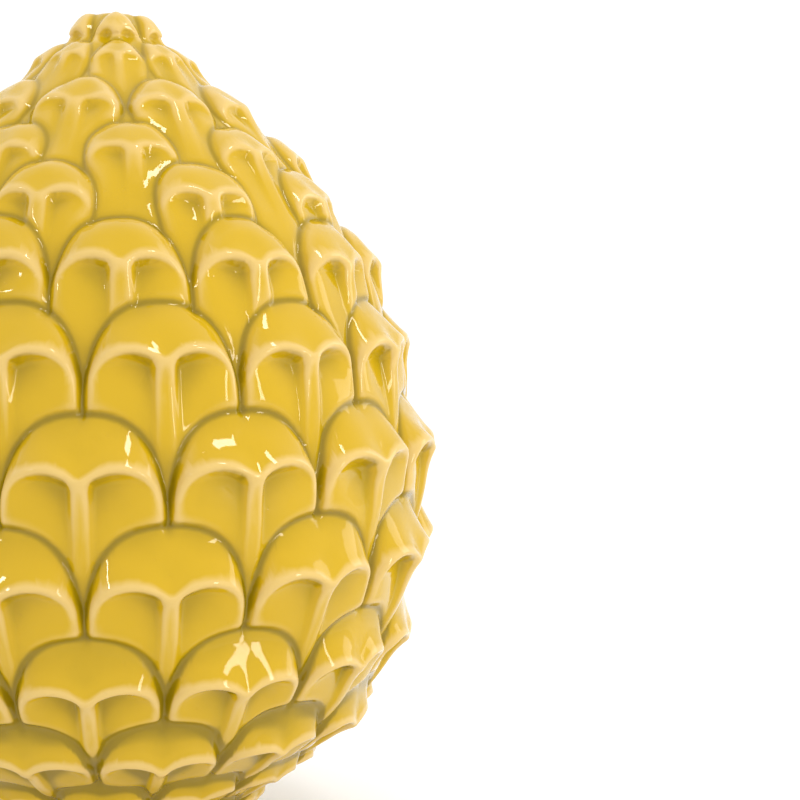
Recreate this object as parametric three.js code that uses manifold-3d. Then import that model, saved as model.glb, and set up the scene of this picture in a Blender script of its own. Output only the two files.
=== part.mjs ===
// Pinecone finial: a standing pinecone cast in one with its foot, glazed all over.
// Millimetres. Z is up, the cone's axis is Z, and the foot's underside is at height 0.
import * as THREE from 'three';
import { mergeVertices } from 'three/addons/utils/BufferGeometryUtils.js';
import Module from 'manifold-3d';

// Overall sizes: the tip over the foot's underside, and the body's radius at its widest,
// measured without the scales
const HEIGHT = 300;
const GIRTH_RADIUS = 103.3;

// Surface that the scales grow from, tip to neck, in parts of the two sizes above
const GROUND_STATIONS = [
  [0, 1], [0.025, 0.9997], [0.053, 0.9963], [0.083, 0.984], [0.1045, 0.9707], [0.121, 0.9627],
  [0.145, 0.9587], [0.174, 0.953], [0.2275, 0.94], [0.358, 0.902], [0.508, 0.853],
  [0.653, 0.798], [0.774, 0.738], [0.869, 0.667], [0.935, 0.593], [0.982, 0.517], [1, 0.44],
  [0.985, 0.367], [0.939, 0.3], [0.871, 0.237], [0.798, 0.192], [0.693, 0.153],
  [0.552, 0.11], [0.46, 0.078], [0.411, 0.05],
];
const GROUND_STEPS = 240;

// The plain foot under the last scales
const FOOT_RADIUS = 45;
const FOOT_RISE = 9;
const FOOT_BEVEL = 1.5;
const NECK_RADIUS = 40;
const NECK_HEIGHT = 15;

// The head under the upper rows, at this depth under the ground on lines at these shares of
// the way from the tip to the first lower row
const HEAD_INSET = 1.6;
const HEAD_LINES = [0.25, 0.6];

// Upper rows from the bud down, each joined on as a ring: height of the arch tops and of the
// tails' ends in parts of the height, number of scales, azimuth of one in degrees from the
// front, widest half-width in parts of the girth radius, and share of the full relief
const UPPER_ROWS = [
  { height: 0.9963, count: 5, azimuth: 2, halfWidth: 0.093, tail: 0.9, vigour: 0.8, inBud: true },
  { height: 0.957, count: 9, azimuth: 2, halfWidth: 0.097, tail: 0.827, vigour: 0.75, inBud: true },
  { height: 0.912, count: 9, azimuth: -16, halfWidth: 0.15, tail: 0.74, vigour: 0.66 },
  { height: 0.857, count: 9, azimuth: 4.5, halfWidth: 0.148, tail: 0.673, vigour: 0.7 },
  { height: 0.813, count: 9, azimuth: 22, halfWidth: 0.166, tail: 0.633, vigour: 0.75 },
];

// Lower rows, where the scales of each row meet side by side and stand over the joints of
// the row above: height of the arch tops in parts of the height, turn on from the row above
// in half steps, share of the full relief, and lines down the face
const LOWER_COUNT = 13;
const LOWER_AZIMUTH = 0.5;
const FULL_FACE = [0, 1, 2, 3, 4];
const SHORT_FACE = [0, 1, 2, 3];
const PLAIN_FACE = [0, 2, 3];
const LOWER_ROWS = [
  { height: 0.7533, turn: 0, vigour: 0.85, lines: FULL_FACE },
  { height: 0.6647, turn: 0.51, vigour: 0.95, lines: FULL_FACE },
  { height: 0.555, turn: 1, vigour: 1, lines: FULL_FACE },
  { height: 0.4447, turn: 1, vigour: 1, lines: FULL_FACE },
  { height: 0.333, turn: 1, vigour: 1, lines: SHORT_FACE },
  { height: 0.237, turn: 1, vigour: 1, lines: SHORT_FACE },
  { height: 0.157, turn: 1, vigour: 1, lines: PLAIN_FACE },
  { height: 0.1033, turn: 1, vigour: 1, lines: PLAIN_FACE },
];
const LAST_TAIL = 0.0533;

// Outline of an arch in parts of the half-width: a rounded square's corner, a little taller
// than it is wide
const ARCH_POWER = 2.5;
const ARCH_HEIGHT = 1.1;

// Relief of one scale, in parts of its half-width: its cap slopes out to the lips of two round
// lobes, under which it falls back quickly into two niches with a midrib between them
const CREST = 0.475;
const SIDE_DROP = 0.22;
const SIDE_POWER = 2.2;
const SHOULDER = 0.085;
const CAP_START = 0.26;
const CAP_POWER = 1.25;
const LOBE_CENTRE = 0.47;
const LOBE_REACH = 0.5;
const LOBE_MEETING = 0.05;
const LIP_DOWN = 0.67;
const LIP_DROP = 0.36;
const UNDER_LIP = 0.26;
const FACE_SHARE = 0.47;
const TAIL_START = 1.25;
const TAIL_LENGTH = 0.75;
const NICHE_CENTRE = 0.49;
const NICHE_REACH = 0.42;
const NICHE_BANK = 0.4;
const NICHE_LEDGE = 0.14;
const NICHE_DEPTH = 0.34;
const GROOVE_DEPTH = 0.8;

// Facets of one scale: places across it on each line, from its left joint to its right
// flank, the places down it on its shoulder, and how far the niche's floor starts under the
// lip, all in parts of its half-width
const ARCH_ACROSS = [-1, -0.85, -0.45, 0, 0.45, 0.85];
const SHOULDER_ACROSS = [-1, -0.8, -0.43, 0, 0.43, 0.8];
const FACE_ACROSS = [-1, -0.87, -0.5, 0, 0.5, 0.87];
const SHOULDER_DOWN = [0, 0.48, 0.2, 0.16, 0.2, 0.48];
const FLOOR_STEP = 0.24;
const COLUMNS_PER_SCALE = ARCH_ACROSS.length;
const FACE_LINES = FULL_FACE.length;
const UPPER_FACETS = { columns: [0, 1, 2, 3, 4, 5], lines: [0, 1, 2, 3] };
const BUD_FACETS = { columns: [0, 2, 3, 4], lines: [0, 2, 3] };
const TAIL_SPLIT = 0.45;

// Borders of a ring sink this far under the ground, and its inner wall is drawn inwards
const SUNK = 3.6;
const INNER_WALL = 0.8;
const SPACED_SHARE = 0.98;

// How far down a lower row its scales' width is taken, in parts of the girth radius
const MIDDLE_REACH = 0.19;

// Least radius that a scale's angle is worked out from, and points closer than the other
// distance are one point
const LEAST_RADIUS = 1;
const SAME_POINT = 1e-4;

const GLAZE = new THREE.MeshStandardMaterial({ color: 0xddb33a, roughness: 0.15, metalness: 0 });

const wasm = await Module();
wasm.setup();

// Points along the ground with their distance from the tip and outward direction
function traceGround() {
  const curve = new THREE.SplineCurve(GROUND_STATIONS.map(([radius, height]) => (
    new THREE.Vector2(radius * GIRTH_RADIUS, height * HEIGHT)
  )));
  const points = curve.getPoints(GROUND_STEPS);
  let travelled = 0;
  return points.map((point, index) => {
    const before = points[Math.max(index - 1, 0)];
    const after = points[Math.min(index + 1, points.length - 1)];
    travelled += index > 0 ? point.distanceTo(before) : 0;
    const along = after.clone().sub(before).normalize();
    const outward = index === 0 ? new THREE.Vector2(0, 1) : new THREE.Vector2(-along.y, along.x);
    return { distance: travelled, radius: point.x, height: point.y, outward };
  });
}

const GROUND = traceGround();

// The ground at a distance from the tip, worked out between its two nearest points
function groundAt(distance) {
  const last = GROUND.length - 1;
  const wanted = THREE.MathUtils.clamp(distance, 0, GROUND[last].distance);
  const upper = Math.max(GROUND.findIndex((point) => point.distance >= wanted), 1);
  const a = GROUND[upper - 1];
  const b = GROUND[upper];
  const share = (wanted - a.distance) / (b.distance - a.distance);
  return {
    radius: THREE.MathUtils.lerp(a.radius, b.radius, share),
    height: THREE.MathUtils.lerp(a.height, b.height, share),
    outward: a.outward.clone().lerp(b.outward, share).normalize(),
  };
}

// Distance from the tip at which the ground reaches a height
function distanceAtHeight(height) {
  const upper = GROUND.findIndex((point) => point.height <= height);
  const a = GROUND[upper - 1];
  const b = GROUND[upper];
  return a.distance + (b.distance - a.distance) * (a.height - height) / (a.height - b.height);
}

// Point lifted off the ground by a height along the ground's own outward direction
function liftedPoint(azimuth, distance, lift) {
  const ground = groundAt(distance);
  const radius = ground.radius + ground.outward.x * lift;
  const height = ground.height + ground.outward.y * lift;
  return [radius * Math.sin(azimuth), -radius * Math.cos(azimuth), height];
}

// Length of a step as seen by a rounded square instead of a circle
function roundedLength(across, along) {
  const sum = Math.pow(Math.abs(across), ARCH_POWER) + Math.pow(Math.abs(along), ARCH_POWER);
  return Math.pow(sum, 1 / ARCH_POWER);
}

// Distance down a scale to the lips of its two lobes, in parts of the half-width
function lipDown(across) {
  const aside = Math.hypot(across, LOBE_MEETING);
  const lobe = THREE.MathUtils.clamp((aside - LOBE_CENTRE) / LOBE_REACH, -1, 1);
  return LIP_DOWN + LIP_DROP * (1 - Math.sqrt(1 - lobe * lobe));
}

// Height of the relief at a place on the scale, in parts of the half-width
function relief(across, down) {
  const overSides = Math.max(ARCH_HEIGHT - down, 0) / ARCH_HEIGHT;
  const fromEdge = Math.max(1 - roundedLength(across, overSides), 0);
  const swell = 1 - Math.exp(-fromEdge / SHOULDER);
  const aside = Math.min(Math.abs(across), 1);
  const underLip = down - lipDown(across);
  const rise = CAP_START + (1 - CAP_START) * Math.pow(Math.max(down, 0) / lipDown(across), CAP_POWER);
  const fall = FACE_SHARE + (1 - FACE_SHARE) * Math.exp(-underLip / UNDER_LIP);
  const inTail = Math.max(down - TAIL_START, 0) / TAIL_LENGTH;
  const body = Math.min(rise, fall) / (1 + inTail * inTail);
  const inNiche = 1 - Math.abs((aside - NICHE_CENTRE) / NICHE_REACH);
  const side = THREE.MathUtils.smoothstep(inNiche, 0, NICHE_BANK);
  const niche = NICHE_DEPTH * side * THREE.MathUtils.smoothstep(underLip, 0, NICHE_LEDGE);
  return CREST * swell * (1 - SIDE_DROP * Math.pow(aside, SIDE_POWER)) * body * (1 - niche);
}

// Distance of the arch's outline below its top
function archDown(across) {
  return ARCH_HEIGHT * (1 - Math.pow(1 - Math.pow(Math.abs(across), ARCH_POWER), 1 / ARCH_POWER));
}

// Places across and down a scale for one line of its face and one column; the joint at the
// scale's side runs from the arches' meeting point to the end given for it
function facePlace(line, column, ends) {
  const end = ends[column];
  const tailAcross = THREE.MathUtils.lerp(FACE_ACROSS[column], end.across, TAIL_SPLIT);
  const across = [ARCH_ACROSS, SHOULDER_ACROSS, FACE_ACROSS, FACE_ACROSS][line];
  if (column === 0) {
    return { across: -1, down: THREE.MathUtils.lerp(ARCH_HEIGHT, end.down, line / FACE_LINES) };
  }
  if (line === 0) {
    return { across: across[column], down: archDown(across[column]) };
  }
  if (line === 1) {
    return { across: across[column], down: SHOULDER_DOWN[column] };
  }
  const lip = lipDown(FACE_ACROSS[column]);
  if (line === 2) {
    return { across: across[column], down: lip };
  }
  if (line === 3) {
    return { across: across[column], down: lip + FLOOR_STEP };
  }
  return { across: tailAcross, down: THREE.MathUtils.lerp(lip + FLOOR_STEP, end.down, TAIL_SPLIT) };
}

// Half of the angle that a scale takes up at a distance from the tip
function halfAngle(row, distance) {
  const radius = Math.max(groundAt(distance).radius, LEAST_RADIUS);
  return Math.min(row.halfWidth / radius, row.sideShare * Math.PI / row.count);
}

// A row with its start, its scales' size and whether they stand apart from each other
function describeRow(row) {
  const start = distanceAtHeight(row.height * HEIGHT);
  const halfWidth = row.halfWidth * GIRTH_RADIUS;
  const middle = groundAt(start + Math.min(halfWidth, MIDDLE_REACH * GIRTH_RADIUS));
  const widest = middle.radius * Math.PI / row.count;
  const spaced = halfWidth < widest;
  const size = Number.isFinite(halfWidth) ? halfWidth : widest;
  return { ...row, start, halfWidth, spaced, sideShare: spaced ? SPACED_SHARE : 1, size };
}

// Point on one scale of a row, with its relief or at a lift of its own
function scalePoint(row, azimuth, place, lift) {
  const distance = row.start + place.down * row.size;
  const raised = lift ?? relief(place.across, place.down) * row.vigour * row.size;
  return liftedPoint(azimuth + place.across * halfAngle(row, distance), distance, raised);
}

// Closed solid for a join from points and the faces between them
function toManifold(positions, faces) {
  const geometry = new THREE.BufferGeometry();
  geometry.setAttribute('position', new THREE.Float32BufferAttribute(positions.flat(), 3));
  geometry.setIndex(faces);
  const merged = mergeVertices(geometry, SAME_POINT);
  return new wasm.Manifold(new wasm.Mesh({
    numProp: 3,
    vertProperties: new Float32Array(merged.attributes.position.array),
    triVerts: new Uint32Array(merged.index.array),
  }));
}

// Two faces between neighbouring columns, split so that both halves of a scale match
function quad(a, b, c, d, leftHalf) {
  return leftHalf ? [a, d, b, b, d, c] : [a, d, c, a, c, b];
}

// All scales of an upper row as one closed ring whose borders lie inside the body
function upperRowSolid(row) {
  const length = (distanceAtHeight(row.tail * HEIGHT) - row.start) / row.size;
  const ends = FACE_ACROSS.map((across) => ({ across, down: length }));
  const facets = row.inBud ? BUD_FACETS : UPPER_FACETS;
  const columns = [];
  const halves = [];
  for (let index = 0; index < row.count; index += 1) {
    const azimuth = THREE.MathUtils.degToRad(row.azimuth) + 2 * Math.PI * index / row.count;
    facets.columns.forEach((column) => {
      columns.push(upperColumn(row, azimuth, column, 1, ends, facets.lines));
      halves.push(column < COLUMNS_PER_SCALE / 2);
    });
    if (row.spaced) {
      columns.push(upperColumn(row, azimuth, 0, -1, ends, facets.lines));
      halves.push(false);
    }
  }
  const lines = columns[0].length;
  const faces = [];
  columns.forEach((column, index) => {
    const next = (index + 1) % columns.length;
    for (let line = 0; line < lines; line += 1) {
      const below = (line + 1) % lines;
      const corners = [index * lines + line, next * lines + line,
        next * lines + below, index * lines + below];
      faces.push(...quad(...corners, halves[index]));
    }
  });
  return toManifold(columns.flat(), faces);
}

// Points down one column of an upper scale, its ends sunk and its inner wall behind them
function upperColumn(row, azimuth, column, mirror, ends, faceLines) {
  const places = [...faceLines.map((line) => facePlace(line, column, ends)), ends[column]];
  const points = places.map((place, index) => {
    const across = place.across * mirror;
    const onBorder = index === 0 || index === places.length - 1;
    const sunk = onBorder || (column === 0 && row.spaced);
    const lift = sunk ? -SUNK : column === 0 ? -GROOVE_DEPTH : undefined;
    return scalePoint(row, azimuth, { across, down: place.down }, lift);
  });
  const [first, last] = [points[0], points.at(-1)];
  const middle = first.map((value, axis) => (value + last[axis]) / 2);
  points.push([middle[0] * INNER_WALL, middle[1] * INNER_WALL, middle[2]]);
  return points;
}

// Places where the columns of a scale end on the arches of the row under it
function tailEnds(row, under) {
  return ARCH_ACROSS.map((_, column) => {
    const archColumn = (column + COLUMNS_PER_SCALE / 2) % COLUMNS_PER_SCALE;
    const archAcross = ARCH_ACROSS[archColumn];
    const across = column < COLUMNS_PER_SCALE / 2 ? archAcross - 1 : archAcross + 1;
    const down = (under.start - row.start + archDown(archAcross) * under.size) / row.size;
    return { across: Math.abs(across) > 1 ? Math.sign(across) : across, down };
  });
}

// One line of points round the cone, over all scales of a lower row
function lowerLine(row, above, line, ends) {
  const points = [];
  for (let index = 0; index < row.count; index += 1) {
    const azimuth = row.azimuth + 2 * Math.PI * index / row.count;
    for (let column = 0; column < COLUMNS_PER_SCALE; column += 1) {
      const place = facePlace(line, column, ends);
      const lift = line === 0 ? archLift(row, above, column) : column === 0 ? 0 : undefined;
      points.push(scalePoint(row, azimuth, place, lift));
    }
  }
  return points;
}

// Lift of the arch's outline: the tail of the row above, less the groove
function archLift(row, above, column) {
  if (!above) {
    return -SUNK;
  }
  const archAcross = ARCH_ACROSS[column];
  const down = (row.start - above.start + archDown(archAcross) * row.size) / above.size;
  return relief(1 - Math.abs(archAcross), down) * above.vigour * above.size - GROOVE_DEPTH;
}

// Plain line of points round the cone that takes every second azimuth of a row's line
function plainLine(line, pointAt) {
  return line.filter((_, step) => step % 2 === 0).map(([x, y]) => pointAt(Math.atan2(x, -y)));
}

// Faces between a line of points and the one under it, which may have half as many or
// twice as many, and may start some steps further round
function strip(upper, lower, shift) {
  const faces = [];
  if (upper.count === lower.count) {
    for (let step = 0; step < upper.count; step += 1) {
      const next = (step + 1) % upper.count;
      const [a, b] = [upper.start + step, upper.start + next];
      const c = lower.start + (next + shift + lower.count) % lower.count;
      const d = lower.start + (step + shift + lower.count) % lower.count;
      faces.push(...quad(a, b, c, d, step % COLUMNS_PER_SCALE < COLUMNS_PER_SCALE / 2));
    }
    return faces;
  }
  const downward = upper.count > lower.count;
  const [fine, coarse] = downward ? [upper, lower] : [lower, upper];
  for (let step = 0; step < coarse.count; step += 1) {
    const [a, b] = [fine.start + step * 2, fine.start + step * 2 + 1];
    const c = fine.start + (step * 2 + 2) % fine.count;
    const [d, e] = [coarse.start + step, coarse.start + (step + 1) % coarse.count];
    const [first, second, third] = [[a, d, b], [b, d, e], [b, e, c]];
    [first, second, third].forEach((face) => faces.push(...(downward ? face : face.reverse())));
  }
  return faces;
}

// Lower rows with their azimuths, each turned on from the one above it
function describeLowerRows() {
  let turned = THREE.MathUtils.degToRad(LOWER_AZIMUTH);
  return LOWER_ROWS.map((row) => {
    turned += row.turn * Math.PI / LOWER_COUNT;
    const described = describeRow({ ...row, count: LOWER_COUNT, halfWidth: Infinity });
    return { ...described, azimuth: turned };
  });
}

// The head, the lower rows and the foot as one closed solid of lines from tip to underside
function lowerSolid() {
  const rows = describeLowerRows();
  const lines = [];
  const shifts = [];
  rows.forEach((row, rowIndex) => {
    const under = rows[rowIndex + 1] ?? { start: distanceAtHeight(LAST_TAIL * HEIGHT), size: 0 };
    const ends = tailEnds(row, under);
    row.lines.forEach((line) => {
      lines.push(lowerLine(row, rows[rowIndex - 1], line, ends));
      shifts.push(line === 0 && rowIndex > 0 ? -COLUMNS_PER_SCALE / 2 : 0);
    });
  });
  const headLines = HEAD_LINES.map((share) => plainLine(lines[0], (azimuth) => (
    liftedPoint(azimuth, share * rows[0].start, -HEAD_INSET)
  )));
  const footOutline = [
    [NECK_RADIUS, NECK_HEIGHT],
    [FOOT_RADIUS, FOOT_RISE],
    [FOOT_RADIUS, FOOT_BEVEL],
    [FOOT_RADIUS - FOOT_BEVEL, 0],
  ];
  const footLines = footOutline.map(([radius, height]) => plainLine(lines.at(-1), (azimuth) => (
    [radius * Math.sin(azimuth), -radius * Math.cos(azimuth), height]
  )));
  const allLines = [...headLines, ...lines, ...footLines];
  const allShifts = [...headLines.map(() => 0), ...shifts, ...footLines.map(() => 0)];
  return closeLines(allLines, allShifts, [0, 0, HEIGHT], [0, 0, 0]);
}

// Closed solid from lines of points round the axis with a point at either end
function closeLines(lines, shifts, top, bottom) {
  const faces = [];
  const spans = [];
  let start = 0;
  lines.forEach((line) => {
    spans.push({ start, count: line.length });
    start += line.length;
  });
  for (let line = 0; line + 1 < lines.length; line += 1) {
    faces.push(...strip(spans[line], spans[line + 1], shifts[line + 1]));
  }
  const [first, last] = [spans[0], spans.at(-1)];
  for (let step = 0; step < first.count; step += 1) {
    faces.push(start, first.start + step, first.start + (step + 1) % first.count);
  }
  for (let step = 0; step < last.count; step += 1) {
    faces.push(start + 1, last.start + (step + 1) % last.count, last.start + step);
  }
  return toManifold([...lines.flat(), top, bottom], faces);
}

// Joined solid back as a faceted geometry
function toGeometry(solid) {
  const mesh = solid.getMesh();
  const geometry = new THREE.BufferGeometry();
  geometry.setAttribute('position', new THREE.Float32BufferAttribute(mesh.vertProperties, 3));
  geometry.setIndex(new THREE.Uint32BufferAttribute(mesh.triVerts, 1));
  const faceted = geometry.toNonIndexed();
  faceted.computeVertexNormals();
  return faceted;
}

let pinecone = lowerSolid();
UPPER_ROWS.forEach((row) => {
  pinecone = pinecone.add(upperRowSolid(describeRow(row)));
});

const group = new THREE.Group();
group.name = 'pinecone_finial';
const mesh = new THREE.Mesh(toGeometry(pinecone), GLAZE);
mesh.name = 'pinecone';
group.add(mesh);

export default group;
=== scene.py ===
import math
from typing import NamedTuple

import bpy
import numpy as np
from bpy.props import FloatProperty, FloatVectorProperty, PointerProperty
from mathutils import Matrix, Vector


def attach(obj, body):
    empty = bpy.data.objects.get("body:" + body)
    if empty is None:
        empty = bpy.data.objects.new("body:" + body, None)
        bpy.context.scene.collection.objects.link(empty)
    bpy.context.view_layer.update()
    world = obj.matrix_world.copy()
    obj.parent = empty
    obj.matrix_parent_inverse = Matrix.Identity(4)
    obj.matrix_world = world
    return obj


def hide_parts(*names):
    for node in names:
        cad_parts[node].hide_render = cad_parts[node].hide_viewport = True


bl_info = {
    "name": "Glazed pinecone finial",
    "version": (1, 0, 0),
    "blender": (4, 5, 0),
    "location": "3D View > Sidebar > Pinecone",
    "description": "Builds a glazed ceramic pinecone with its studio stage",
    "category": "Add Mesh",
}

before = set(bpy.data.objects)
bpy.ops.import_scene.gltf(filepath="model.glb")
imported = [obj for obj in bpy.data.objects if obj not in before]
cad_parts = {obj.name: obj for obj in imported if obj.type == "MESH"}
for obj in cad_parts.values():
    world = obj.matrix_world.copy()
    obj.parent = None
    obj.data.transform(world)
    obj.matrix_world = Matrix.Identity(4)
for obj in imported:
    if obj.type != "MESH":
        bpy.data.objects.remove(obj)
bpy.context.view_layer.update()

MM = 0.001

# Surface that the scales grow from, tip to neck, as radius and height in millimetres
GROUND_STATIONS = (
    (0, 299.4), (3.4, 299.3), (7.2, 298.4), (10.6, 295.2), (12.6, 291.6), (13.8, 289),
    (15.8, 287.4), (18.6, 285.8), (23.8, 282), (37, 270.5), (52.5, 256), (67.5, 239.5),
    (80, 221.5), (89.8, 200), (96.6, 178), (101.4, 155), (103.3, 132), (101.8, 110),
    (97, 90), (90, 71), (82.4, 57.5), (71.6, 46), (57, 33), (47.5, 23.5), (42.5, 15),
)
GROUND_STEPS = 2000

# Foot under the last scales: its radius, where its neck's hollow ends, its rounded edges, the
# steps of each of its arcs, and a ring half-way in on its underside
FOOT_RADIUS = 45 * MM
FOOT_RISE = 9 * MM
FOOT_EDGE = 1.5 * MM
FOOT_ARC_STEPS = 6
FOOT_RING = 0.5


class Row(NamedTuple):
    """One row of scales: where its arches stand, its scales' width and its relief."""

    height: float
    count: int
    azimuth: float
    half_width: float
    vigour: float
    roll: float
    lip: float


# Rows from the bud to the foot, with heights and half-widths in millimetres, azimuths in
# degrees from the front, shares of the full relief, how far the caps are rolled over instead
# of flaring out, and how far down their lips are in parts of the half-width; rows of endless
# width meet side by side
ROWS = (
    Row(298.6, 5, 2.0, 11.6, 0.8, 1.0, 0.8),
    Row(287.2, 9, 2.0, 10.0, 0.75, 1.0, 1.1),
    Row(273.6, 9, -16.0, 15.5, 0.66, 1.0, 0.98),
    Row(257.2, 9, 4.5, 15.3, 0.7, 1.0, 0.92),
    Row(243.9, 9, 22.0, 17.1, 0.75, 0.9, 0.88),
    Row(226.0, 13, 0.5, math.inf, 0.85, 0.65, 0.78),
    Row(199.4, 13, 7.56, math.inf, 0.95, 0.3, 0.7),
    Row(166.5, 13, 21.4, math.inf, 1.0, 0.0, 0.67),
    Row(133.4, 13, 35.25, math.inf, 1.0, 0.0, 0.67),
    Row(99.9, 13, 49.1, math.inf, 1.0, 0.0, 0.67),
    Row(71.1, 13, 62.95, math.inf, 1.0, 0.0, 0.67),
    Row(47.1, 13, 76.8, math.inf, 1.0, 0.0, 0.67),
    Row(31.0, 13, 90.65, math.inf, 1.0, 0.0, 0.67),
)

# Where a row's width is measured below its arches' tops, how far above them the row begins,
# and the least radius that its scales' angles are worked out with
MIDDLE_REACH = 20 * MM
REACH_ABOVE = 3 * MM
LEAST_RADIUS = 1 * MM

# Share of its place that a scale's arch fills, between which half-widths down its sides close
# on its neighbours, and how far its niches and its height differ in parts of the unevenness
ARCH_SHARE = 0.965
SIDES_CLOSE = (0.8, 1.25)
VIGOUR_SPREAD = (-2.0, 2.0)
LOSS_SPREAD = (0.0, 1.0)

# Below, ARCH_ROLLED and CAP_ROLLED are what a fully rolled row has instead; the other names
# in ROLLED are what it adds, and DISH_POWER and NICHE_DISHED what a fully dished row adds

# Outline of an arch: a rounded square's corner that is taller than it is wide
ARCH_POWER = 2.5
ARCH_ROLLED = 2.15
ARCH_HEIGHT = 1.25

# Swell of a scale from its outline inwards, in parts of its half-width: a quick shoulder, a
# slow dome, a drop towards its sides, and a fine rim inside the outline of rolled rows
SHOULDER = 0.05
SHOULDER_ROLLED = 0.05
DOME = 0.2
DOME_SHARE = 0.42
DOME_ROLLED = 0.15
SIDE_DROP = 0.12
SIDE_POWER = 2.2
RIM_INSIDE = 0.15
RIM_WIDTH = 0.035
RIM_DEPTH = 0.07

# Cap of a scale: its share of the relief at the top, its way down to the lip, its flare, and
# its hollow in the rows that are dished, which are the low ones by height in millimetres
CAP_START = 0.22
CAP_ROLLED = 0.85
CAP_MIDDLE = 0.74
CAP_BLEND = (0.2, 0.7)
FLARE = 0.17
FLARE_LENGTH = 0.12
FLARE_END = 0.5
DISH_HEIGHTS = (65, 120)
DISH_POWER = 0.7

# Lips of a scale's two round lobes, and the face that falls back under them into its tail
LOBE_CENTRE = 0.48
LOBE_REACH = 0.55
LOBE_MEETING = 0.11
LIP_DROP = 0.56
LIP_ROUNDING = 0.085
UNDER_LIP = 0.26
FALL_START = -1.5
FACE_SHARE = 0.47
TAIL_START = 1.25
TAIL_LENGTH = 0.75

# Two niches in the face with a midrib between them: the midrib's banks, the floor from its
# deepest place outwards, the ledge under the lips, and how the depth fades further down
NICHE_BANK = (0.07, 0.17)
BANK_ROLLED = 0.08
NICHE_FLOOR = (0.2, 0.9)
NICHE_RISE = 1.4
NICHE_LEDGE = 0.15
NICHE_LENGTH = 0.38
NICHE_TAIL = 0.45
NICHE_ROLLED = 0.65
NICHE_DISHED = 0.4

# Painted shade under the lip, drawn as a dark line of thick glaze at the top of a niche:
# its width, its place under the lip, its strength
NICHE_SHADE_WIDTH = 0.06
NICHE_SHADE_PLACE = 0.065
NICHE_SHADE_SHARE = 0.9

# How the scales settle into each other: the softness of their outlines, the width over which
# they come to hide what lies under them, the widths of their grooves and glaze lines, and
# between how many half-widths down these two end
EDGE_SOFTNESS = 0.5 * MM
TAIL_FADE = 1.1 * MM
GROOVE_WIDTH = 0.9 * MM
LINE_WIDTH = 1.35 * MM
GROOVE_END = (2.2, 4.0)

# Reach over which the finished relief is melted: below the heights given, and above them
MELT = 0.5 * MM
MELT_TOP = 0.85 * MM
MELT_HEIGHTS = (150 * MM, 285 * MM)

# Waves as left by modelling by hand: how many, how often one goes round, how often one
# repeats in the span down the cone, and the calm at the tip and before the neck
WAVE_COUNT = 14
WAVE_TURNS = (5, 34)
WAVE_REPEATS = (2.0, 11.0)
WAVE_SPAN = 300 * MM
TIP_CALM = 9 * MM
NECK_CALM = (9 * MM, 1 * MM)

# Reach over which the surface is averaged to find its edges and its hollows
EDGE_REACH = 1.5 * MM
HOLLOW_REACH = 4.0 * MM

# Glaze: from which to which stored value it pools, thins out or darkens in a groove, and how
# much of that colour it takes at most; the first two are in millimetres of hollow or edge,
# and clouds shift the first; the pooled and groove colours also carry painted shade under
# the lips and towards the foot
POOL_RANGE = (-0.3, 2.2, 1.0)
EDGE_RANGE = (0.08, 0.6, 0.9)
LINE_RANGE = (0.35, 1.0, 0.85)
CLOUD_SHIFT = 1.1

# Painted shade towards the foot, where the low rows lie in shade, together with glaze that has run
# down and lies deeper there: fully below the lower height given, and most of all in hollows of the
# depths given
RUN_AND_SHADE_HEIGHTS = (35 * MM, 105 * MM)
RUN_AND_SHADE_DEPTH = 0.9 * MM
RUN_AND_SHADE_LINE = 2.2
SHADED_HOLLOW_DEPTHS = (-0.5 * MM, 1.8 * MM)

# It is thinner near the tip, fully above the upper height given, and its lines fade there as
# the relief melts
THIN_HEIGHTS = (170 * MM, 290 * MM)
THIN_EDGE = 0.14 * MM
LINE_FADE = 0.28

# Surface of the glaze: its refraction, and the strength and warmth of its reflections
GLAZE_IOR = 1.5
GLAZE_SPECULAR = 0.42
GLAZE_TINT = (1.0, 0.89, 0.75, 1.0)

# Clouds, ripple and pinholes in the glaze: their scales, the bumps that the last two make,
# and between which distances from its middle a pinhole's edge rises
CLOUD_SCALE = 42.0
CLOUD_DETAIL = 4.0
RIPPLE_SCALE = 120.0
RIPPLE_DETAIL = 2.0
RIPPLE_STRENGTH = 0.12
RIPPLE_DEPTH = 0.4 * MM
PINHOLE_SCALE = 95.0
PINHOLE_EDGE = (0.035, 0.07)
PINHOLE_STRENGTH = 0.5
PINHOLE_DEPTH = 0.15 * MM

# Seed of the differences between the scales and of the waves
SEED = 17

EVEN_STEP = 0.55 * MM
TRIANGLE_BUDGET = 190000
TINY = 1e-12

# Camera found from the rows of scales in the photograph
CAMERA_DISTANCE = 0.610
CAMERA_HEIGHT = 0.2093
CAMERA_YAW = math.radians(9.45)
CAMERA_PITCH = math.radians(4.36)
CAMERA_LENS = 76.0
SENSOR_WIDTH = 36.0

# Paper sweep in metres: a floor that bends up into a back wall, faintly uneven in its white
PAPER_WIDTH = 6.0
PAPER_FRONT = -2.6
PAPER_BACK = 2.6
PAPER_RISE = 3.2
PAPER_BEND = 0.9
PAPER_BEND_STEPS = 16
PAPER_COLOUR = (0.93, 0.93, 0.93)
PAPER_SHADE = 0.985
PAPER_ROUGHNESS = 0.9
PAPER_GRAIN_SCALE = 3.0
PAPER_GRAIN_DETAIL = 2.0


class Lamp(NamedTuple):
    """One softbox: its direction in degrees, its distance and its two sizes in metres."""

    name: str
    azimuth: float
    elevation: float
    distance: float
    width: float
    height: float


KEY_SOFTBOX = Lamp("key_softbox", 44, 8, 1.3, 0.16, 0.5)
SIDE_SOFTBOX = Lamp("side_softbox", 98, 14, 1.4, 0.5, 0.8)
TOP_SOFTBOX = Lamp("top_softbox", 50, 60, 1.2, 0.13, 0.3)
LEFT_SPARK = Lamp("left_spark", -58, 26, 1.5, 0.1, 0.12)
LAMP_TARGET_HEIGHT = 160 * MM


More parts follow.
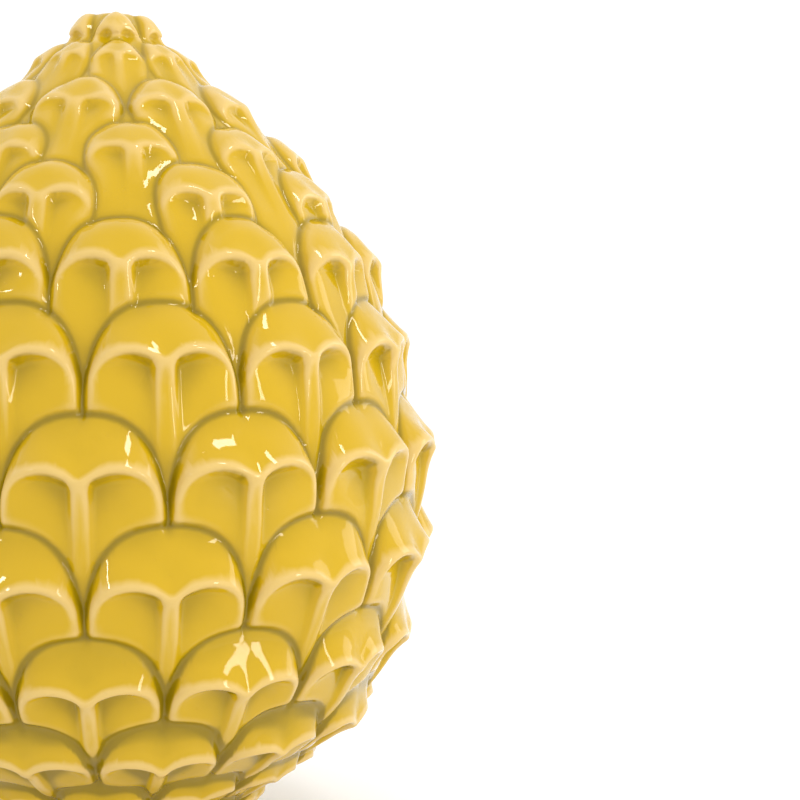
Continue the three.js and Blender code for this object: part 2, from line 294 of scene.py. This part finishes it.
class PineconeShape(bpy.types.PropertyGroup):
    """Sizes of the carving that a user may change."""

    crest: FloatProperty(
        name="Crest", description="Height of a scale's crest in parts of its half-width",
        default=0.485, min=0.1, max=0.9, subtype="FACTOR",
    )
    scoop_depth: FloatProperty(
        name="Scoop depth", description="Share of a scale's height that its scoops take away",
        default=0.55, min=0.0, max=0.9, subtype="FACTOR",
    )
    groove_depth: FloatProperty(
        name="Groove depth", description="Depth of the groove round every scale",
        default=0.9 * MM, min=0.0, max=3 * MM, unit="LENGTH", subtype="DISTANCE",
    )
    waviness: FloatProperty(
        name="Waviness", description="Height of the slow hand-made waves in the surface",
        default=0.22 * MM, min=0.0, max=1 * MM, unit="LENGTH", subtype="DISTANCE",
    )
    unevenness: FloatProperty(
        name="Unevenness", description="How much one scale's relief differs from the next",
        default=0.05, min=0.0, max=0.3, subtype="FACTOR",
    )


class GlazeLook(bpy.types.PropertyGroup):
    """Colours and gloss of the glaze."""

    edge_colour: FloatVectorProperty(
        name="Edge colour", description="Where the glaze has run thin over an edge",
        default=(0.61, 0.425, 0.14), subtype="COLOR", min=0.0, max=1.0,
    )
    face_colour: FloatVectorProperty(
        name="Face colour", description="The glaze on the open faces",
        default=(0.505, 0.315, 0.004), subtype="COLOR", min=0.0, max=1.0,
    )
    # Pool colour: also the painted shade towards the foot
    pool_and_shade_colour: FloatVectorProperty(
        name="Pool colour", description="Where the glaze has pooled in a hollow",
        default=(0.37, 0.24, 0.001), subtype="COLOR", min=0.0, max=1.0,
    )
    # Groove colour: also the painted shade under the lips and in the low hollows
    groove_and_shade_colour: FloatVectorProperty(
        name="Groove colour", description="The thickest glaze, down in the grooves",
        default=(0.21, 0.142, 0.001), subtype="COLOR", min=0.0, max=1.0,
    )
    roughness: FloatProperty(
        name="Roughness", description="Roughness of the glaze's surface",
        default=0.05, min=0.0, max=1.0, subtype="FACTOR",
    )


class StudioSetup(bpy.types.PropertyGroup):
    """Lights round the pinecone."""

    key_power: FloatProperty(
        name="Key power", description="Power of the tall softbox on the right",
        default=2.9, min=0.0, unit="POWER",
    )
    side_power: FloatProperty(
        name="Side power", description="Power of the large weak softbox far on the right",
        default=2.6, min=0.0, unit="POWER",
    )
    top_power: FloatProperty(
        name="Top power", description="Power of the softbox above",
        default=2.2, min=0.0, unit="POWER",
    )
    spark_power: FloatProperty(
        name="Spark power", description="Power of the small lamp on the left",
        default=1.1, min=0.0, unit="POWER",
    )
    ambient: FloatProperty(
        name="Ambient", description="Brightness of the pale room round the stage",
        default=1.27, min=0.0, max=4.0,
    )


def smooth_step(value, low, high):
    """Rise from nought at low to one at high with level ends."""
    share = np.clip((value - low) / (high - low), 0.0, 1.0)
    return share * share * (3.0 - 2.0 * share)


def rounded_length(across, along, power):
    """Length of a step as seen by a rounded square instead of a circle."""
    return (np.abs(across) ** power + np.abs(along) ** power) ** (1.0 / power)


def spline_points(stations, steps):
    """Points of a uniform Catmull-Rom curve through the stations."""
    stations = np.asarray(stations, dtype=float)
    last = len(stations) - 1
    where = np.linspace(0.0, last, steps + 1)
    span = np.minimum(where.astype(int), last - 1)
    share = (where - span)[:, None]
    before = stations[np.maximum(span - 1, 0)]
    start = stations[span]
    end = stations[span + 1]
    after = stations[np.minimum(span + 2, last)]
    leave = (end - before) / 2
    arrive = (after - start) / 2
    cubic = 2 * start - 2 * end + leave + arrive
    square = -3 * start + 3 * end - 2 * leave - arrive
    return cubic * share**3 + square * share**2 + leave * share + start


class Ground:
    """Meridian of the surface under the scales, by distance from the tip."""

    def __init__(self, step):
        points = spline_points(GROUND_STATIONS, GROUND_STEPS) * MM
        lengths = np.hypot(*np.diff(points, axis=0).T)
        travelled = np.concatenate(([0.0], np.cumsum(lengths)))
        count = int(travelled[-1] / step) + 1
        self.distance = np.linspace(0.0, travelled[-1], count)
        self.radius = np.interp(self.distance, travelled, points[:, 0])
        self.height = np.interp(self.distance, travelled, points[:, 1])
        along_radius = np.gradient(self.radius, self.distance)
        along_height = np.gradient(self.height, self.distance)
        length = np.hypot(along_radius, along_height)
        self.out_radius = -along_height / length
        self.out_height = along_radius / length
        self.out_radius[0] = 0.0
        self.out_height[0] = 1.0

    def distance_at(self, height):
        """Distance from the tip at which the ground is at a height."""
        return float(np.interp(-height, -self.height, self.distance))

    def radius_at(self, distance):
        """Radius of the ground at a distance from the tip."""
        return float(np.interp(distance, self.distance, self.radius))


def lip_line(across, row):
    """Distance down a scale to the lips of its two lobes, in parts of its half-width."""
    aside = np.hypot(across, LOBE_MEETING)
    lobe = np.clip((aside - LOBE_CENTRE) / LOBE_REACH, -1.0, 1.0)
    return row.lip + LIP_DROP * (1.0 - np.sqrt(1.0 - lobe**2))


def niche_sides(across, row):
    """Share of a niche's full depth across the scale: deepest beside the midrib."""
    aside = np.abs(across) - BANK_ROLLED * row.roll
    low, high = NICHE_FLOOR
    outward = np.clip((aside - low) / (high - low), 0.0, 1.0)
    return smooth_step(aside, *NICHE_BANK) * (1.0 - outward**NICHE_RISE)


def scale_swell(across, edge, row):
    """Share of a scale's height that it reaches at a distance from its outline."""
    shoulder = SHOULDER + SHOULDER_ROLLED * row.roll
    dome_share = DOME_SHARE + DOME_ROLLED * row.roll
    swell = 1.0 - (1.0 - dome_share) * np.exp(-edge / shoulder) - dome_share * np.exp(-edge / DOME)
    swell *= 1.0 - RIM_DEPTH * row.roll * np.exp(-(((edge - RIM_INSIDE) / RIM_WIDTH) ** 2))
    aside = np.minimum(np.abs(across), 1.0)
    return swell * (1.0 - SIDE_DROP * aside**SIDE_POWER)


def scale_profile(down, lip, row, dished):
    """Height down a scale: a cap that slopes out to the lip, the face under it, and a tail."""
    reach = CAP_MIDDLE + (lip - CAP_MIDDLE) * smooth_step(down, *CAP_BLEND)
    flare = FLARE * np.exp(np.minimum(down - lip, FLARE_END) / FLARE_LENGTH)
    start = CAP_START + (CAP_ROLLED - CAP_START) * row.roll
    risen = (np.maximum(down, 0.0) / reach) ** (1.0 + DISH_POWER * dished)
    rise = (1.0 - FLARE) * (start + (1.0 - start) * risen) + flare
    fallen = np.clip((down - lip) / UNDER_LIP, FALL_START, None)
    fall = FACE_SHARE + (1.0 - FACE_SHARE) * np.exp(-fallen)
    body = -LIP_ROUNDING * np.logaddexp(-rise / LIP_ROUNDING, -fall / LIP_ROUNDING)
    in_tail = np.maximum(down - TAIL_START, 0.0) / TAIL_LENGTH
    return body / (1.0 + in_tail**2)


def niche_share(across, down, lip, row, dished):
    """How much of a niche's depth is reached at a place on the scale."""
    below = np.maximum(down - lip, 0.0)
    under = smooth_step(below, 0.0, NICHE_LEDGE)
    under *= NICHE_TAIL + (1.0 - NICHE_TAIL) * np.exp(-below / NICHE_LENGTH)
    full = 1.0 + NICHE_ROLLED * row.roll + NICHE_DISHED * dished
    return full * niche_sides(across, row) * under


def scale_relief(across, down, edge, shape, vigour, row):
    """Height of a scale over the ground, in parts of its half-width."""
    dished = 1.0 - smooth_step(row.height, *DISH_HEIGHTS)
    lip = lip_line(across, row)
    body = scale_swell(across, edge, row) * scale_profile(down, lip, row, dished)
    niche = shape.scoop_depth * vigour * niche_share(across, down, lip, row, dished)
    return shape.crest * body * (1.0 - niche)


def paint_row(height_map, lines_and_shade_map, row, ground, azimuths, shape, rng):
    """Lay one row of scales over what is already there, draw their outlines, and paint shade under
    their lips.
    """
    start = ground.distance_at(row.height * MM)
    limit = row.half_width * MM
    middle = start + min(limit, MIDDLE_REACH)
    widest = ground.radius_at(middle) * math.pi / row.count
    size = limit if math.isfinite(limit) else widest
    first = max(int(np.searchsorted(ground.distance, start - REACH_ABOVE)), 1)
    distance = ground.distance[first:, None]
    radius = np.maximum(ground.radius[first:, None], LEAST_RADIUS)
    down = (distance - start) / size
    closed = smooth_step(down, *SIDES_CLOSE)
    side_share = ARCH_SHARE + (1.0 - ARCH_SHARE) * closed
    half_angle = np.minimum(limit / radius, side_share * math.pi / row.count)
    step = 2 * math.pi / row.count
    turned = (azimuths[None, :] - math.radians(row.azimuth)) / step
    index = np.round(turned)
    across = (turned - index) * step / half_angle
    which = index.astype(int) % row.count
    vigour = (1.0 + shape.unevenness * rng.uniform(*VIGOUR_SPREAD, row.count))[which]
    tallness = (1.0 - shape.unevenness * rng.uniform(*LOSS_SPREAD, row.count))[which]
    above_sides = np.maximum(ARCH_HEIGHT - down, 0.0) / ARCH_HEIGHT
    power = ARCH_POWER + (ARCH_ROLLED - ARCH_POWER) * row.roll
    edge = (1.0 - rounded_length(across, above_sides, power)) * size
    soft_edge = (edge + np.hypot(edge, EDGE_SOFTNESS)) / 2
    relief = scale_relief(across, down, soft_edge / size, shape, vigour, row)
    relief *= tallness * row.vigour * size
    drawn = 1.0 - smooth_step(down, *GROOVE_END)
    groove = shape.groove_depth * np.exp(-((edge / GROOVE_WIDTH) ** 2)) * drawn
    covered = np.exp(-soft_edge / TAIL_FADE)
    height_map[first:] = height_map[first:] * covered + relief - groove
    line = np.exp(-((edge / LINE_WIDTH) ** 2)) * drawn
    # Painted shade: a dark line along the top of each niche, just under the overhanging lip
    niche_top = lip_line(across, row) + NICHE_SHADE_PLACE
    niche_shade = np.exp(-(((down - niche_top) / NICHE_SHADE_WIDTH) ** 2)) * niche_sides(across, row)
    line = np.maximum(line, NICHE_SHADE_SHARE * niche_shade * (edge > 0.0))
    lines_and_shade_map[first:] = np.maximum(lines_and_shade_map[first:] * covered, line)


def slow_waves(ground, azimuths, amount, rng):
    """Slow waves all over the surface, as left by modelling by hand."""
    waves = np.zeros((len(ground.distance), len(azimuths)))
    for _ in range(WAVE_COUNT):
        turns = rng.integers(*WAVE_TURNS)
        along = rng.uniform(*WAVE_REPEATS) * rng.choice((-1, 1)) * 2 * math.pi / WAVE_SPAN
        phase = rng.uniform(0, 2 * math.pi)
        waves += np.sin(turns * azimuths[None, :] + along * ground.distance[:, None] + phase)
    return waves * amount / math.sqrt(WAVE_COUNT / 2)


def blurred(height_map, ground, reach):
    """Height map averaged over a reach in both directions."""
    spectrum = np.fft.rfft(height_map, axis=1)
    order = np.arange(spectrum.shape[1])[None, :]
    spread = reach / np.maximum(ground.radius[:, None], reach)
    spectrum *= np.exp(-0.5 * (order * spread) ** 2)
    smooth = np.fft.irfft(spectrum, height_map.shape[1], axis=1)
    step = ground.distance[1] - ground.distance[0]
    half = int(3 * reach / step)
    offsets = np.arange(-half, half + 1) * step
    weights = np.exp(-0.5 * (offsets / reach) ** 2)
    weights /= weights.sum()
    padded = np.pad(smooth, ((half, half), (0, 0)), mode="edge")
    result = np.zeros_like(smooth)
    for row, weight in enumerate(weights):
        result += weight * padded[row:row + len(smooth)]
    return result


class Skin:
    """Points of the whole surface as a grid of lines round the axis."""

    def __init__(self, shape, step):
        self.ground = Ground(step)
        columns = int(2 * math.pi * self.ground.radius.max() / step)
        self.azimuths = np.linspace(-math.pi, math.pi, columns, endpoint=False)
        height_map, lines_and_shade_map = self.carved(shape)
        fine, broad, lines_and_shade_map = self.glazed(height_map, lines_and_shade_map)
        foot = foot_outline()
        radius = self.ground.radius[:, None] + self.ground.out_radius[:, None] * height_map
        height = self.ground.height[:, None] + self.ground.out_height[:, None] * height_map
        plain = np.ones((1, columns))
        self.radius = np.vstack((radius, foot[:, :1] * plain))
        self.height = np.vstack((height, foot[:, 1:] * plain))
        none = np.zeros((len(foot), columns))
        self.fine = np.vstack((fine, none))
        self.broad = np.vstack((broad, none))
        self.line = np.vstack((lines_and_shade_map, none))
        self.radius[0] = 0.0
        self.height[0] = self.ground.height[0]

    def carved(self, shape):
        """Melted relief over the ground, and the lines of thick glaze round its scales with the
        painted shade under their lips.
        """
        rng = np.random.default_rng(SEED)
        distance = self.ground.distance
        height_map = np.zeros((len(distance), len(self.azimuths)))
        lines_and_shade_map = np.zeros_like(height_map)
        for row in ROWS:
            paint_row(height_map, lines_and_shade_map, row, self.ground, self.azimuths, shape, rng)
        calm = smooth_step(distance, 0.0, TIP_CALM)
        settle = 1.0 - smooth_step(distance, *(distance[-1] - np.array(NECK_CALM)))
        waves = slow_waves(self.ground, self.azimuths, shape.waviness, rng)
        height_map += waves * calm[:, None]
        height_map *= settle[:, None]
        melted = self.share_above(MELT_HEIGHTS)
        little = blurred(height_map, self.ground, MELT)
        much = blurred(height_map, self.ground, MELT_TOP)
        return (1.0 - melted) * little + melted * much, lines_and_shade_map

    def glazed(self, height_map, lines_and_shade_map):
        """Depth of each point under its near and its wide surroundings, and its glaze lines, with
        painted shade added towards the foot.
        """
        fine = blurred(height_map, self.ground, EDGE_REACH) - height_map
        broad = blurred(height_map, self.ground, HOLLOW_REACH) - height_map
        # Painted shade: deeper glaze colour and more dark line towards the foot, in hollows most of
        # all
        run_and_shade = 1.0 - self.share_above(RUN_AND_SHADE_HEIGHTS)
        lines_and_shade_map = lines_and_shade_map * (1.0 - LINE_FADE * self.share_above(MELT_HEIGHTS))
        lines_and_shade_map += RUN_AND_SHADE_LINE * run_and_shade * smooth_step(broad, *SHADED_HOLLOW_DEPTHS)
        broad += RUN_AND_SHADE_DEPTH * run_and_shade
        fine -= THIN_EDGE * self.share_above(THIN_HEIGHTS)
        return fine, broad, lines_and_shade_map

    def share_above(self, heights):
        """Rise from nought to one between two heights, for each line of the grid."""
        return smooth_step(self.ground.height, *heights)[:, None]

    def points(self):
        """Points of the grid as x, y and z."""
        x = self.radius * np.sin(self.azimuths)
        y = -self.radius * np.cos(self.azimuths)
        return np.stack((x, y, self.height), axis=-1)


def foot_outline():
    """Radius and height down the foot from its neck to the middle of its underside."""
    neck_radius, neck_height = np.array(GROUND_STATIONS[-1]) * MM
    turn = np.linspace(0.0, math.pi / 2, FOOT_ARC_STEPS + 1)
    reach = FOOT_RADIUS - FOOT_EDGE - neck_radius
    drop = neck_height - FOOT_RISE
    hollow = np.stack((neck_radius + reach * (1 - np.cos(turn)), neck_height - drop * np.sin(turn)), 1)
    upper = np.stack((FOOT_RADIUS - FOOT_EDGE * (1 - np.sin(turn)),
                      FOOT_RISE - FOOT_EDGE * (1 - np.cos(turn))), 1)
    lower = np.stack((FOOT_RADIUS - FOOT_EDGE * (1 - np.cos(turn)),
                      FOOT_EDGE * (1 - np.sin(turn))), 1)
    middle = np.array([[FOOT_RADIUS * FOOT_RING, 0.0], [0.0, 0.0]])
    return np.vstack((hollow[1:], upper[1:], lower, middle))


def grid_normals(points):
    """Outward direction at every point of the grid."""
    round_axis = np.roll(points, -1, axis=1) - np.roll(points, 1, axis=1)
    down = np.gradient(points, axis=0)
    normals = np.cross(down, round_axis)
    length = np.linalg.norm(normals, axis=-1, keepdims=True)
    return normals / np.maximum(length, TINY)


def grid_mesh(name, points):
    """Closed mesh over a grid whose first and last lines are single points."""
    lines, columns = points.shape[:2]
    inner = points[1:-1].reshape(-1, 3)
    vertices = np.vstack((points[0, :1], inner, points[-1, :1]))
    column = np.arange(columns)
    following = (column + 1) % columns
    line = np.arange(lines - 3)[:, None] * columns + 1
    quads = np.stack((line + column, line + columns + column,
                      line + columns + following, line + following), axis=-1).reshape(-1, 4)
    top = np.stack((np.zeros(columns, int), column + 1, following + 1), axis=-1)
    base = (lines - 3) * columns + 1
    last = len(vertices) - 1
    bottom = np.stack((np.full(columns, last), base + following, base + column), axis=-1)
    corners = np.concatenate((top.ravel(), quads.ravel(), bottom.ravel()))
    totals = np.concatenate((np.full(columns, 3), np.full(len(quads), 4), np.full(columns, 3)))
    mesh = bpy.data.meshes.new(name)
    mesh.vertices.add(len(vertices))
    mesh.vertices.foreach_set("co", vertices.astype(np.float32).ravel())
    mesh.loops.add(len(corners))
    mesh.loops.foreach_set("vertex_index", corners.astype(np.int32))
    mesh.polygons.add(len(totals))
    starts = np.concatenate(([0], np.cumsum(totals)[:-1])).astype(np.int32)
    mesh.polygons.foreach_set("loop_start", starts)
    mesh.update(calc_edges=True)
    mesh.validate()
    return mesh


def thin_out(piece, budget):
    """Spend a budget of triangles where the surface bends most."""
    full = piece.data
    full.calc_loop_triangles()
    count = len(full.loop_triangles)
    if count <= budget:
        return
    fewer = piece.modifiers.new("fewer triangles", "DECIMATE")
    fewer.decimate_type = "COLLAPSE"
    fewer.ratio = budget / count
    fewer.use_collapse_triangulate = True
    depsgraph = bpy.context.evaluated_depsgraph_get()
    thinned = bpy.data.meshes.new_from_object(piece.evaluated_get(depsgraph))
    piece.modifiers.clear()
    piece.data = thinned
    bpy.data.meshes.remove(full)


class GridReader:
    """Values of the grid at any point close to its surface."""

    def __init__(self, skin, vertices):
        radius = np.hypot(vertices[:, 0], vertices[:, 1])
        azimuth = np.arctan2(vertices[:, 0], -vertices[:, 1])
        step = skin.azimuths[1] - skin.azimuths[0]
        where = (azimuth - skin.azimuths[0]) / step
        self.left = np.floor(where).astype(int) % len(skin.azimuths)
        self.right = (self.left + 1) % len(skin.azimuths)
        self.share = where - np.floor(where)
        self.line, self.line_share = self.nearest_line(skin, radius, vertices[:, 2])

    def nearest_line(self, skin, radius, height):
        """Line above each point on its own meridian, and the share of the way to the next."""
        own_radius = skin.radius[:, self.left].T
        own_height = skin.height[:, self.left].T
        away = (own_radius - radius[:, None]) ** 2 + (own_height - height[:, None]) ** 2
        nearest = np.clip(np.argmin(away, axis=1), 1, own_radius.shape[1] - 2)
        every = np.arange(len(nearest))
        outward = own_radius[every, nearest + 1] - own_radius[every, nearest - 1]
        upward = own_height[every, nearest + 1] - own_height[every, nearest - 1]
        along = (radius - own_radius[every, nearest]) * outward
        along += (height - own_height[every, nearest]) * upward
        along *= 2.0 / np.maximum(outward**2 + upward**2, TINY)
        along = np.clip(along, -1.0, 1.0)
        before = np.floor(along).astype(int)
        return nearest + before, along - before

    def read(self, values):
        """Values at the points, blended between lines and between meridians."""
        share = self.share.reshape((-1,) + (1,) * (values.ndim - 2))
        along = self.line_share.reshape(share.shape)
        below = np.minimum(self.line + 1, len(values) - 1)
        left = values[self.line, self.left] * (1 - along) + values[below, self.left] * along
        right = values[self.line, self.right] * (1 - along) + values[below, self.right] * along
        return left * (1 - share) + right * share


def store(mesh, name, values):
    """Keep one number for each point of the mesh under a name."""
    attribute = mesh.attributes.new(name, "FLOAT", "POINT")
    attribute.data.foreach_set("value", values.astype(np.float32))


def noise_output(material, place, scale, detail):
    """Noise that stays with the object."""
    noise = material.node_tree.nodes.new("ShaderNodeTexNoise")
    noise.inputs["Scale"].default_value = scale
    noise.inputs["Detail"].default_value = detail
    material.node_tree.links.new(place, noise.inputs["Vector"])
    return noise.outputs["Fac"]


def bump_node(material, height, strength, depth):
    """Fine unevenness of the surface that follows a height."""
    bump = material.node_tree.nodes.new("ShaderNodeBump")
    bump.inputs["Strength"].default_value = strength
    bump.inputs["Distance"].default_value = depth
    material.node_tree.links.new(height, bump.inputs["Height"])
    return bump


def stored_share(material, name, span, shift=None):
    """Share from nought to one over a span of a stored number, with an optional shift."""
    nodes = material.node_tree.nodes
    links = material.node_tree.links
    stored = nodes.new("ShaderNodeAttribute")
    stored.attribute_name = name
    value = stored.outputs["Fac"]
    if shift is not None:
        shifted = nodes.new("ShaderNodeMath")
        shifted.operation = "ADD"
        links.new(value, shifted.inputs[0])
        links.new(shift, shifted.inputs[1])
        value = shifted.outputs["Value"]
    share = nodes.new("ShaderNodeMapRange")
    share.interpolation_type = "SMOOTHSTEP"
    share.inputs["From Min"].default_value = span[0]
    share.inputs["From Max"].default_value = span[1]
    share.inputs["To Max"].default_value = span[2]
    links.new(value, share.inputs["Value"])
    return share.outputs["Result"]


def blended(material, share, under, over):
    """Colour that goes from one to another by a share."""
    mix = material.node_tree.nodes.new("ShaderNodeMix")
    mix.data_type = "RGBA"
    material.node_tree.links.new(share, mix.inputs["Factor"])
    if isinstance(under, tuple):
        mix.inputs["A"].default_value = under
    else:
        material.node_tree.links.new(under, mix.inputs["A"])
    mix.inputs["B"].default_value = (*over, 1.0)
    return mix.outputs["Result"]


def glaze_material(look):
    """Honey glaze that is pale where it runs thin and deep where it pools, with painted shade under
    the lips and towards the foot.
    """
    material = bpy.data.materials.new("honey glaze")
    material.use_nodes = True
    nodes = material.node_tree.nodes
    links = material.node_tree.links
    surface = nodes["Principled BSDF"]
    surface.inputs["Roughness"].default_value = look.roughness
    surface.inputs["IOR"].default_value = GLAZE_IOR
    surface.inputs["Specular IOR Level"].default_value = GLAZE_SPECULAR
    surface.inputs["Specular Tint"].default_value = GLAZE_TINT

    place = nodes.new("ShaderNodeTexCoord").outputs["Object"]
    cloud_shift = nodes.new("ShaderNodeMapRange")
    cloud_shift.inputs["To Min"].default_value = -CLOUD_SHIFT
    cloud_shift.inputs["To Max"].default_value = CLOUD_SHIFT
    links.new(noise_output(material, place, CLOUD_SCALE, CLOUD_DETAIL), cloud_shift.inputs["Value"])

    # The pool and groove colours also paint shade under the lips and towards the foot
    pooled = stored_share(material, "glaze_depth_and_shade", POOL_RANGE, cloud_shift.outputs["Result"])
    thinned = stored_share(material, "glaze_edge", EDGE_RANGE)
    lined_and_shaded = stored_share(material, "glaze_line_and_shade", LINE_RANGE)
    colour = (*look.face_colour, 1.0)
    colour = blended(material, pooled, colour, look.pool_and_shade_colour)
    colour = blended(material, thinned, colour, look.edge_colour)
    colour = blended(material, lined_and_shaded, colour, look.groove_and_shade_colour)
    links.new(colour, surface.inputs["Base Color"])

    pinholes = nodes.new("ShaderNodeTexVoronoi")
    pinholes.inputs["Scale"].default_value = PINHOLE_SCALE
    links.new(place, pinholes.inputs["Vector"])
    hole = nodes.new("ShaderNodeMapRange")
    hole.inputs["From Min"].default_value = PINHOLE_EDGE[0]
    hole.inputs["From Max"].default_value = PINHOLE_EDGE[1]
    links.new(pinholes.outputs["Distance"], hole.inputs["Value"])

    ripple = noise_output(material, place, RIPPLE_SCALE, RIPPLE_DETAIL)
    ripple_bump = bump_node(material, ripple, RIPPLE_STRENGTH, RIPPLE_DEPTH)
    hole_bump = bump_node(material, hole.outputs["Result"], PINHOLE_STRENGTH, PINHOLE_DEPTH)
    links.new(ripple_bump.outputs["Normal"], hole_bump.inputs["Normal"])
    links.new(hole_bump.outputs["Normal"], surface.inputs["Normal"])
    return material


class PINECONE_OT_casting(bpy.types.Operator):
    """Build the glazed casting: the pinecone with its foot"""

    bl_idname = "pinecone.casting"
    bl_label = "Build the casting"

    def execute(self, context):
        shape = context.scene.pinecone_shape
        look = context.scene.pinecone_look
        skin = Skin(shape, EVEN_STEP)
        points = skin.points()
        piece = bpy.data.objects.new("glazed_pinecone", grid_mesh("glazed_pinecone", points))
        context.scene.collection.objects.link(piece)
        thin_out(piece, TRIANGLE_BUDGET)
        mesh = piece.data
        vertices = np.empty(len(mesh.vertices) * 3, np.float32)
        mesh.vertices.foreach_get("co", vertices)
        vertices = vertices.reshape(-1, 3).astype(float)
        reader = GridReader(skin, vertices)
        normals = reader.read(grid_normals(points))
        normals /= np.maximum(np.linalg.norm(normals, axis=1, keepdims=True), TINY)
        # Depth and line values carry painted shade as well as pooled and groove glaze
        store(mesh, "glaze_depth_and_shade", reader.read(skin.broad) / MM)
        store(mesh, "glaze_edge", -reader.read(skin.fine) / MM)
        store(mesh, "glaze_line_and_shade", reader.read(skin.line))
        mesh.shade_smooth()
        mesh.normals_split_custom_set_from_vertices(normals.tolist())
        mesh.materials.append(glaze_material(look))
        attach(piece, "root")
        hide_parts("pinecone")
        return {"FINISHED"}


def paper_material():
    """Matt white paper with the faint unevenness of a roll."""
    material = bpy.data.materials.new("white paper")
    material.use_nodes = True
    nodes = material.node_tree.nodes
    links = material.node_tree.links
    surface = nodes["Principled BSDF"]
    surface.inputs["Roughness"].default_value = PAPER_ROUGHNESS
    place = nodes.new("ShaderNodeTexCoord").outputs["Object"]
    grain = noise_output(material, place, PAPER_GRAIN_SCALE, PAPER_GRAIN_DETAIL)
    tone = nodes.new("ShaderNodeMix")
    tone.data_type = "RGBA"
    tone.inputs["A"].default_value = (*(PAPER_SHADE * value for value in PAPER_COLOUR), 1.0)
    tone.inputs["B"].default_value = (*PAPER_COLOUR, 1.0)
    links.new(grain, tone.inputs["Factor"])
    links.new(tone.outputs["Result"], surface.inputs["Base Color"])
    return material


def sweep_mesh(name):
    """Paper roll: a floor that curves up into a back wall."""
    line = [(PAPER_FRONT, 0.0)]
    for turn in np.linspace(0.0, math.pi / 2, PAPER_BEND_STEPS + 1):
        y = PAPER_BACK - PAPER_BEND + PAPER_BEND * math.sin(turn)
        line.append((y, PAPER_BEND * (1 - math.cos(turn))))
    line.append((PAPER_BACK, PAPER_RISE))
    vertices = [(side * PAPER_WIDTH / 2, y, z) for y, z in line for side in (-1, 1)]
    faces = [(2 * i, 2 * i + 1, 2 * i + 3, 2 * i + 2) for i in range(len(line) - 1)]
    mesh = bpy.data.meshes.new(name)
    mesh.from_pydata(vertices, [], faces)
    mesh.shade_smooth()
    return mesh


def add_softbox(softbox, power):
    """Rectangular lamp that faces the middle of the pinecone."""
    target = Vector((0.0, 0.0, LAMP_TARGET_HEIGHT))
    turn = math.radians(softbox.azimuth)
    lift = math.radians(softbox.elevation)
    way = Vector((math.sin(turn) * math.cos(lift), -math.cos(turn) * math.cos(lift), math.sin(lift)))
    light = bpy.data.lights.new(softbox.name, "AREA")
    light.shape = "RECTANGLE"
    light.size = softbox.width
    light.size_y = softbox.height
    light.energy = power
    holder = bpy.data.objects.new(softbox.name, light)
    holder.location = target + way * softbox.distance
    holder.rotation_euler = (-way).to_track_quat("-Z", "Y").to_euler()
    bpy.context.scene.collection.objects.link(holder)


def add_camera():
    """Camera at the photograph's viewing angle."""
    camera = bpy.data.cameras.new("photograph")
    camera.lens = CAMERA_LENS
    camera.sensor_width = SENSOR_WIDTH
    holder = bpy.data.objects.new("photograph", camera)
    holder.location = (0.0, -CAMERA_DISTANCE, CAMERA_HEIGHT)
    holder.rotation_euler = (math.pi / 2 - CAMERA_PITCH, 0.0, -CAMERA_YAW)
    bpy.context.scene.collection.objects.link(holder)
    bpy.context.scene.camera = holder


class PINECONE_OT_stage(bpy.types.Operator):
    """Set up the pale floor, the soft lights and the camera"""

    bl_idname = "pinecone.stage"
    bl_label = "Set up the stage"

    def execute(self, context):
        studio = context.scene.pinecone_studio
        floor = bpy.data.objects.new("paper_sweep", sweep_mesh("paper_sweep"))
        floor.data.materials.append(paper_material())
        context.scene.collection.objects.link(floor)
        room = bpy.data.worlds.new("pale room")
        room.use_nodes = True
        backdrop = room.node_tree.nodes["Background"]
        backdrop.inputs["Color"].default_value = (1.0, 1.0, 1.0, 1.0)
        backdrop.inputs["Strength"].default_value = studio.ambient
        context.scene.world = room
        context.scene.view_settings.view_transform = "Standard"
        add_softbox(KEY_SOFTBOX, studio.key_power)
        add_softbox(SIDE_SOFTBOX, studio.side_power)
        add_softbox(TOP_SOFTBOX, studio.top_power)
        add_softbox(LEFT_SPARK, studio.spark_power)
        add_camera()
        return {"FINISHED"}


class PINECONE_PT_panel(bpy.types.Panel):
    """Settings and steps of the pinecone in the sidebar"""

    bl_label = "Pinecone"
    bl_idname = "PINECONE_PT_panel"
    bl_space_type = "VIEW_3D"
    bl_region_type = "UI"
    bl_category = "Pinecone"

    def draw(self, context):
        layout = self.layout
        for group in ("pinecone_shape", "pinecone_look", "pinecone_studio"):
            settings = getattr(context.scene, group)
            box = layout.box()
            for name in settings.__annotations__:
                box.prop(settings, name)
        layout.operator(PINECONE_OT_casting.bl_idname)
        layout.operator(PINECONE_OT_stage.bl_idname)


CLASSES = (
    PineconeShape,
    GlazeLook,
    StudioSetup,
    PINECONE_OT_casting,
    PINECONE_OT_stage,
    PINECONE_PT_panel,
)


def register():
    """Make the settings, steps and panel known to Blender."""
    for item in CLASSES:
        bpy.utils.register_class(item)
    bpy.types.Scene.pinecone_shape = PointerProperty(type=PineconeShape)
    bpy.types.Scene.pinecone_look = PointerProperty(type=GlazeLook)
    bpy.types.Scene.pinecone_studio = PointerProperty(type=StudioSetup)


def unregister():
    """Take the settings, steps and panel away again."""
    del bpy.types.Scene.pinecone_studio
    del bpy.types.Scene.pinecone_look
    del bpy.types.Scene.pinecone_shape
    for item in reversed(CLASSES):
        bpy.utils.unregister_class(item)


def main():
    """Build everything in order."""
    register()
    bpy.ops.pinecone.casting()
    bpy.ops.pinecone.stage()


if __name__ == "__main__":
    main()
